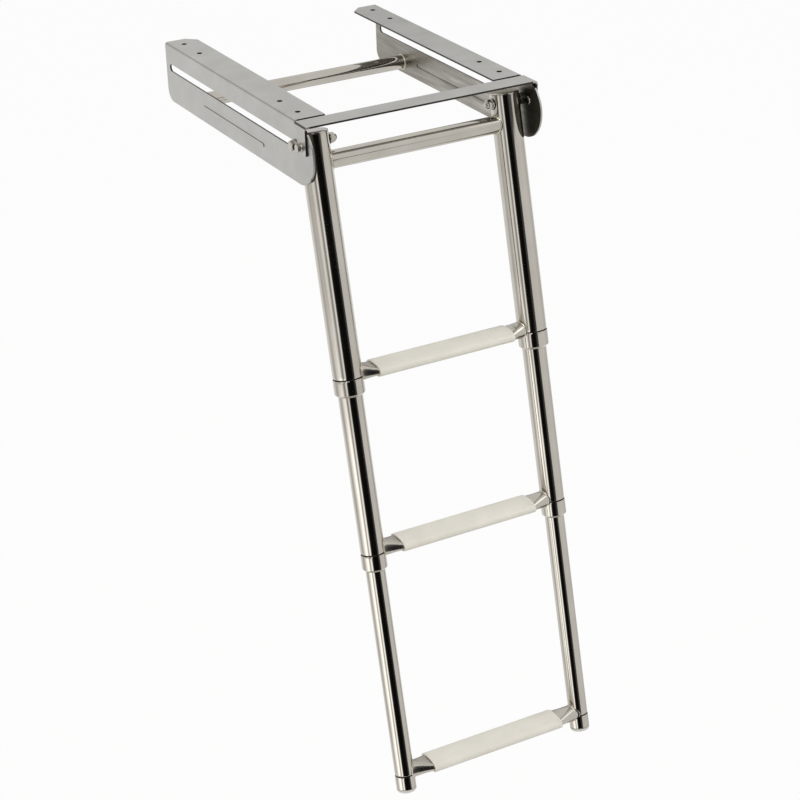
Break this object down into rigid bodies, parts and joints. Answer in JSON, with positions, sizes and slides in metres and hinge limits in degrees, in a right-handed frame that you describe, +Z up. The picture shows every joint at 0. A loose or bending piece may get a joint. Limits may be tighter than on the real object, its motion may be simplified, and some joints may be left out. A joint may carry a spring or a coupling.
{
  "type": "retractable boat ladder",
  "caption": "Under-platform boat ladder: slotted sheet rails carry a folding ladder of telescoping steel tubes with flattened rungs and pale plastic treads.",
  "frame": {"origin": "middle of the front strap's top face, which lies against the platform's underside", "axes": "+X across the ladder to its right seen from the water, +Y to the rear along the rails, +Z up"},
  "size_m": [0.2832, 0.4887, 0.7357],
  "materials": {
    "rail_steel": "satin stainless sheet",
    "tube_steel": "mirror polished stainless tube",
    "fastener_steel": "bright stainless fasteners",
    "tread_plastic": "satin off-white moulded plastic",
    "plug_plastic": "light grey moulded plastic"
  },
  "bodies": {
    "mount_frame": {"left_rail": "rail_steel", "right_rail": "rail_steel", "front_strap": "rail_steel", "rear_cross_tube": "tube_steel", "left_strap_bolt": "fastener_steel", "right_strap_bolt": "fastener_steel"},
    "pivot_bolts": {"left_pivot_bolt": "fastener_steel", "left_outer_washer": "fastener_steel", "left_pivot_spacer": "fastener_steel", "left_inner_washer": "fastener_steel", "left_pivot_nut": "fastener_steel", "right_pivot_bolt": "fastener_steel", "right_outer_washer": "fastener_steel", "right_pivot_spacer": "fastener_steel", "right_inner_washer": "fastener_steel", "right_pivot_nut": "fastener_steel"},
    "upper_section": {"left_upper_tube": "tube_steel", "left_top_cap": "tube_steel", "left_upper_collar": "tube_steel", "right_upper_tube": "tube_steel", "right_top_cap": "tube_steel", "right_upper_collar": "tube_steel", "top_cross_tube": "tube_steel", "upper_rung": "tube_steel", "upper_tread": "tread_plastic"},
    "middle_section": {"left_middle_tube": "tube_steel", "left_middle_collar": "tube_steel", "right_middle_tube": "tube_steel", "right_middle_collar": "tube_steel", "middle_rung": "tube_steel", "middle_tread": "tread_plastic"},
    "lower_section": {"left_lower_tube": "tube_steel", "left_foot_socket": "tube_steel", "left_foot_plug": "plug_plastic", "right_lower_tube": "tube_steel", "right_foot_socket": "tube_steel", "right_foot_plug": "plug_plastic", "lower_rung": "tube_steel", "lower_tread": "tread_plastic"}
  },
  "joints": [
    {"name": "stow_slide", "type": "slide", "parent": "mount_frame", "child": "pivot_bolts", "axis": [0, 1, 0], "range_m": [0, 0.31]},
    {"name": "fold_hinge", "type": "hinge", "parent": "pivot_bolts", "child": "upper_section", "pos_m": [0, 0.016, -0.0263], "axis": [-1, 0, 0], "range_deg": [0, 77.8]},
    {"name": "middle_slide", "type": "slide", "parent": "upper_section", "child": "middle_section", "axis": [0, 0.2113, 0.9774], "range_m": [0, 0.163]},
    {"name": "lower_slide", "type": "slide", "parent": "middle_section", "child": "lower_section", "axis": [0, 0.2113, 0.9774], "range_m": [0, 0.227]}
  ],
  "couplings": [
    {"joint": "fold_hinge", "follows": "stow_slide", "rad_per_m": 4.3802}
  ]
}
